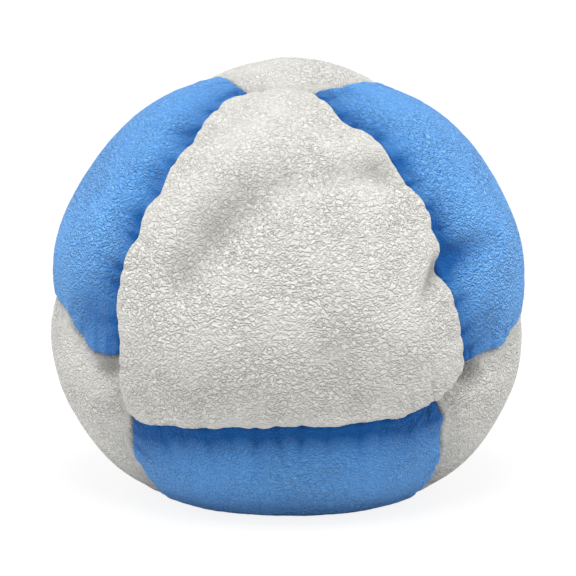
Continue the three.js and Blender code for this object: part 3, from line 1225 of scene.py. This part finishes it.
@dataclass
class ThreadRun:
    """A running stitch along one seam, through both turned-in edges. Lengths are in millimetres."""

    name: str
    seam: Seam
    ball: RestingBall
    material: bpy.types.Material
    sink: float = 3.5
    floor_sink: float = 1.15
    aside: float = 0.85
    diameter: float = 0.35
    roundness: int = 2

    def path(self) -> Array:
        """Lays the thread from stitch to stitch, changing sides at each one.

        Returns:
            The points that it passes, from the ball's centre.
        """
        shares = np.linspace(0.0, 1.0, len(self.seam.line))
        steps = np.gradient(self.seam.line, axis=0)
        points = []
        for index, pinch in enumerate(sorted(self.seam.pinches, key=lambda one: one.share)):
            at = unit(np.array([np.interp(pinch.share, shares, row) for row in self.seam.line.T]))
            ahead = np.array([np.interp(pinch.share, shares, row) for row in steps.T])
            across = unit(np.cross(at, ahead))
            reach = self.ball.reach(at[None], np.array([self.sink]))[0]
            middle = at * min(reach, self.ball.floor_reach(at[None])[0] - self.floor_sink)
            side = self.aside if index % 2 else -self.aside
            points += [middle + across * side, middle - across * side]
        return np.array(points)

    def build(self) -> bpy.types.Object:
        """Makes the thread.

        Returns:
            The thread's object, dressed and attached to the ball's body.
        """
        points = self.ball.place(self.path())
        bpy.ops.object.select_all(action="DESELECT")
        bpy.ops.curve.primitive_nurbs_path_add()
        piece = bpy.context.object
        piece.name = self.name
        line = piece.data
        line.splines.clear()
        run = line.splines.new("POLY")
        run.points.add(len(points) - 1)
        run.points.foreach_set("co", np.column_stack([points, np.ones(len(points))]).ravel())
        line.bevel_depth = self.diameter / 2.0 * MM
        line.bevel_resolution = self.roundness
        line.use_fill_caps = True
        bpy.ops.object.convert(target="MESH")
        piece.data.name = self.name
        piece.data.materials.append(self.material)
        bpy.ops.object.shade_smooth()
        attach(piece, "root")
        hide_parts(self.name.replace("stitches_", "thread_"))
        return piece


@dataclass
class SandFill:
    """The loose sand, with valleys where the panels' edges turn in. Lengths are in millimetres."""

    pattern: SewingPattern
    ball: RestingBall
    material: bpy.types.Material
    skin: float = 2.2
    valley: float = 3.8
    valley_width: float = 3.2
    level: float = 36.0
    base_lift: float = 1.4
    divisions: int = 7
    grain: float = 0.6
    grain_height: float = 0.25
    batch: int = 400

    def build(self) -> bpy.types.Object:
        """Heaps the sand.

        Returns:
            The sand's object, dressed and attached to the ball's body.
        """
        bpy.ops.object.select_all(action="DESELECT")
        bpy.ops.mesh.primitive_ico_sphere_add(subdivisions=self.divisions, radius=1.0)
        piece = bpy.context.object
        piece.name = "loose_sand"
        piece.data.name = piece.name
        mesh = piece.data
        round_points = np.zeros(len(mesh.vertices) * 3)
        mesh.vertices.foreach_get("co", round_points)
        directions = unit(round_points.reshape(-1, 3))
        lines = np.concatenate([seam.line[::2] for seam in self.pattern.seams.values()])
        closeness = np.full(len(directions), -1.0)
        for begin in range(0, len(lines), self.batch):
            near = (directions @ lines[begin : begin + self.batch].T).max(axis=1)
            closeness = np.maximum(closeness, near)
        away = np.arccos(np.clip(closeness, -1.0, 1.0)) * self.ball.radius
        loss = self.skin + self.valley * np.exp(-((away / self.valley_width) ** 2))
        reach = self.ball.reach(directions, loss)
        points = directions * np.minimum(reach, self.ball.floor_reach(directions) - self.base_lift)[:, None]
        top = self.level - self.ball.centre_height
        points[:, 2] = np.minimum(points[:, 2], top)
        mesh.vertices.foreach_set("co", self.ball.place(points).ravel())
        mesh.update()
        roughen(piece, "grains", self.grain, self.grain_height)
        mesh.materials.append(self.material)
        bpy.ops.object.shade_smooth()
        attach(piece, "root")
        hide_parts("sand_fill")
        return piece


@dataclass
class Studio:
    """The floor, the light and the camera. Lengths are in metres."""

    ball: RestingBall
    floor_half: float = 4.0
    camera_distance: float = 0.8
    camera_elevation: float = 12.5
    radius_pixels: float = 239.5
    centre_drop: float = 10.0
    picture: float = 576.0
    sensor: float = 36.0
    side_light: float = 2.4
    front_light: float = 0.45
    top_light: float = 0.4
    key_light: float = 0.72
    key_spread: float = 30.0
    key_lean: float = 19.0
    floor_shade: float = 0.66
    floor_glow: float = 1.08
    floor_share: float = 0.8

    def build(self) -> None:
        """Sets up everything round the object."""
        self.painted_light_offset_floor()
        self.light_world()
        self.hang_lamp()
        self.aim_camera()
        bpy.context.scene.view_settings.view_transform = "Standard"

    def painted_light_offset_floor(self) -> None:
        """Lays a white floor that keeps the object's shadow."""
        bpy.ops.object.select_all(action="DESELECT")
        bpy.ops.mesh.primitive_plane_add(size=self.floor_half * 2.0)
        floor = bpy.context.object
        floor.name = "studio_floor"
        white = bpy.data.materials.new("floor_white")
        white.use_nodes = True
        nodes = Nodes(white.node_tree)
        shader = nodes.tree.nodes["Principled BSDF"]
        pale = (self.floor_shade, self.floor_shade, self.floor_shade, 1.0)
        nodes.feed(shader, {"Base Color": pale, "Roughness": 1.0, "Specular IOR Level": 0.0})
        glow = nodes.add("Emission", {"Color": WHITE, "Strength": self.floor_glow})
        share = nodes.math("MULTIPLY", nodes.add("LightPath", {}, "Is Camera Ray"), self.floor_share)
        both = nodes.add("MixShader", {0: share, 1: shader.outputs[0], 2: glow})
        nodes.feed(nodes.tree.nodes["Material Output"], {"Surface": both})
        floor.data.materials.append(white)

    def light_world(self) -> None:
        """Makes a soft white surround, plain white to the camera."""
        world = bpy.data.worlds.new("studio")
        bpy.context.scene.world = world
        world.use_nodes = True
        nodes = Nodes(world.node_tree)
        soft = nodes.tree.nodes["Background"]
        place = nodes.add("TexCoord", {}, "Generated")
        squares = nodes.add("VectorMath", {0: place, 1: place}, "Vector", operation="MULTIPLY")
        sides = (self.side_light, self.front_light, self.top_light)
        level = nodes.add("VectorMath", {0: squares, 1: sides}, "Value", operation="DOT_PRODUCT")
        nodes.feed(soft, {"Color": WHITE, "Strength": level})
        seen = nodes.add("Background", {"Color": WHITE})
        camera = nodes.add("LightPath", {}, "Is Camera Ray")
        either = nodes.math("MAXIMUM", camera, nodes.add("LightPath", {}, "Is Glossy Ray"))
        both = nodes.add("MixShader", {0: either, 1: soft.outputs[0], 2: seen})
        nodes.feed(nodes.tree.nodes["World Output"], {"Surface": both})

    def hang_lamp(self) -> None:
        """Hangs one soft lamp high overhead, leaning a little to the front."""
        data = bpy.data.lights.new("overhead", "SUN")
        data.energy = self.key_light * math.pi
        data.angle = math.radians(self.key_spread)
        made = bpy.data.objects.new("overhead", data)
        bpy.context.scene.collection.objects.link(made)
        made.location = (0.0, 0.0, 1.0)
        made.rotation_euler = (math.radians(self.key_lean), 0.0, 0.0)

    def aim_camera(self) -> None:
        """Points the camera as the photograph was taken."""
        data = bpy.data.cameras.new("camera")
        made = bpy.data.objects.new("camera", data)
        bpy.context.scene.collection.objects.link(made)
        bpy.context.scene.camera = made
        back = Vector(heading(0.0, self.camera_elevation))
        up = Vector((1.0, 0.0, 0.0)).cross(-back)
        ball_radius = self.ball.radius * MM
        spread = math.tan(math.asin(ball_radius / self.camera_distance))
        data.sensor_width = self.sensor
        data.lens = self.radius_pixels / spread / self.picture * self.sensor
        lift = self.centre_drop * ball_radius / self.radius_pixels
        centre = Vector((0.0, 0.0, self.ball.centre_height * MM))
        made.location = centre + back * self.camera_distance + up * lift
        made.rotation_euler = (-back).to_track_quat("-Z", "Y").to_euler()


# In both suedes, pit and tip are the painted shade and painted highlight of the fibres, and deep is the
# painted shade in hollows.
GREY_SUEDE = SuedeFinish(
    name="grey_suede",
    base=(0.64, 0.63, 0.595),
    painted_underside_shade=(0.34, 0.33, 0.31),
    tip=(0.9, 0.89, 0.855),
    rim=(0.52, 0.51, 0.485),
    hollow_shade_colour=(0.36, 0.35, 0.33),
    sheen=0.08,
)
BLUE_SUEDE = SuedeFinish(
    name="blue_suede",
    base=(0.1, 0.32, 0.71),
    painted_underside_shade=(0.01, 0.13, 0.43),
    tip=(0.25, 0.55, 0.93),
    rim=(0.09, 0.3, 0.68),
    hollow_shade_colour=(0.004, 0.09, 0.32),
    sheen=0.1,
    contrast=3.0,
)
SEWING_THREAD = PlainFinish("sewing_thread", (0.8, 0.78, 0.72), (0.62, 0.6, 0.54), 4000.0)
DRY_SAND = PlainFinish("dry_sand", (0.66, 0.5, 0.28), (0.4, 0.28, 0.14), 2500.0, 0.9)

DENTS: dict[Panel, tuple[Dent, ...]] = {
    Panel.GREY_FRONT: (
        Dent(12.5, -4.5, 0.85, 4.5),
        Dent(28.0, 3.5, -0.3, 2.6),
        Dent(-28.0, 16.5, 1.2, 3.3),
        Dent(-21.0, 27.5, 1.4, 3.7),
        Dent(-13.5, 37.5, 1.25, 3.6),
        Dent(0.0, 43.0, 1.0, 3.2),
    ),
    Panel.BLUE_UPPER_LEFT: (
        Dent(-48.9, 53.8, 0.5, 1.8),
        Dent(-48.3, 39.4, 0.5, 1.8),
        Dent(-47.8, 27.5, 0.5, 1.8),
        Dent(-49.9, 12.6, 0.35, 2.0),
        Dent(-58.0, 3.0, 0.9, 4.0),
        Dent(-90.0, 38.0, 0.6, 9.0),
    ),
    Panel.BLUE_UPPER_RIGHT: (
        Dent(34.5, 61.4, 0.4, 1.6),
        Dent(41.2, 55.5, 0.4, 1.6),
        Dent(43.5, 44.0, 0.5, 2.2),
        Dent(46.6, 26.7, 0.7, 1.9),
        Dent(58.0, 0.0, 0.4, 3.5),
        Dent(96.0, 28.0, 0.35, 9.0),
    ),
    Panel.GREY_LEFT_REAR: (Dent(-53.0, -9.5, 1.2, 1.8),),
    Panel.GREY_RIGHT_REAR: (Dent(54.0, -10.5, 2.0, 2.0),),
}
CREASES: dict[Panel, tuple[Crease, ...]] = {
    Panel.GREY_FRONT: (
        Crease((32.2, 44.3), (7.9, 41.9), 1.5, 2.2),
        Crease((43.2, 17.6), (34.0, 8.5), 1.8, 1.1),
        Crease((16.0, -17.0), (18.5, -11.0), 0.4, 1.0),
    ),
    Panel.BLUE_UPPER_RIGHT: (Crease((45.0, 18.8), (68.2, 19.8), 1.5, 1.7),),
}


FRONT_FIT: dict[str, object] = {
    "crown_loss": 0.28,
    "fold_radius": 0.6,
    "hem": 0.06,
    "trough": 0.1,
    "allowance": 3.2,
    "bent_shade": 1.1,
}
GREY_FIT: dict[str, object] = {
    "sunk": {Panel.GREY_FRONT: 0.8},
    "crown_loss": 0.8,
    "crown_length": 2.2,
}
BLUE_FIT: dict[str, object] = {
    "sunk": {Panel.GREY_FRONT: 0.75},
    "deepest": 1.1,
    "shallow": 0.2,
    "bent_shade": 0.6,
    "crown_loss": 0.25,
    "crown_length": 3.8,
    "cut_width": 38.0,
    "cut_length": 36.0,
}
FITS: dict[Panel, dict[str, object]] = {
    Panel.GREY_FRONT: FRONT_FIT,
    Panel.BLUE_BOTTOM: {**BLUE_FIT, "sunk": {Panel.GREY_FRONT: 1.2}, "crown_length": 4.4},
}


def fit_of(panel: Panel) -> dict[str, object]:
    """Gives the sizes in which a panel differs from a plain one."""
    return FITS.get(panel, GREY_FIT if panel.colour is Colour.GREY else BLUE_FIT)


def sew(pattern: SewingPattern, ball: RestingBall) -> None:
    """Runs a thread along every seam.

    Args:
        pattern: The sewing pattern, with all its seams laid out.
        ball: The form that the seams lie on.
    """
    thread = SEWING_THREAD.material()
    order = list(Panel)
    for key, seam in pattern.seams.items():
        sides = [one for one in key if one in order]
        tips = [one for one in key if one not in order]
        if tips:
            sides = [one for one in order if one.colour is Colour.GREY and tips[0] in one.tips]
        first, second = sorted(sides, key=order.index)
        ThreadRun(f"stitches_{first.label}_to_{second.label}", seam, ball, thread).build()


def main() -> None:
    """Builds the ball's pieces and the studio."""
    logging.basicConfig(level=logging.INFO, format="%(message)s")
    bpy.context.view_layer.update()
    ball = RestingBall()
    pattern = SewingPattern(ball)
    suedes = {Colour.GREY: GREY_SUEDE.material(), Colour.BLUE: BLUE_SUEDE.material()}
    for panel in Panel:
        made = SuedePanel(panel, pattern, ball, suedes[panel.colour], **fit_of(panel))
        made.dents = DENTS.get(panel, ())
        made.creases = CREASES.get(panel, ())
        piece = made.build()
        LOG.info("%s: %d faces", piece.name, len(piece.data.polygons))
    sand = SandFill(pattern, ball, DRY_SAND.material()).build()
    LOG.info("%s: %d faces", sand.name, len(sand.data.polygons))
    sew(pattern, ball)
    Studio(ball).build()


if __name__ == "__main__":
    main()
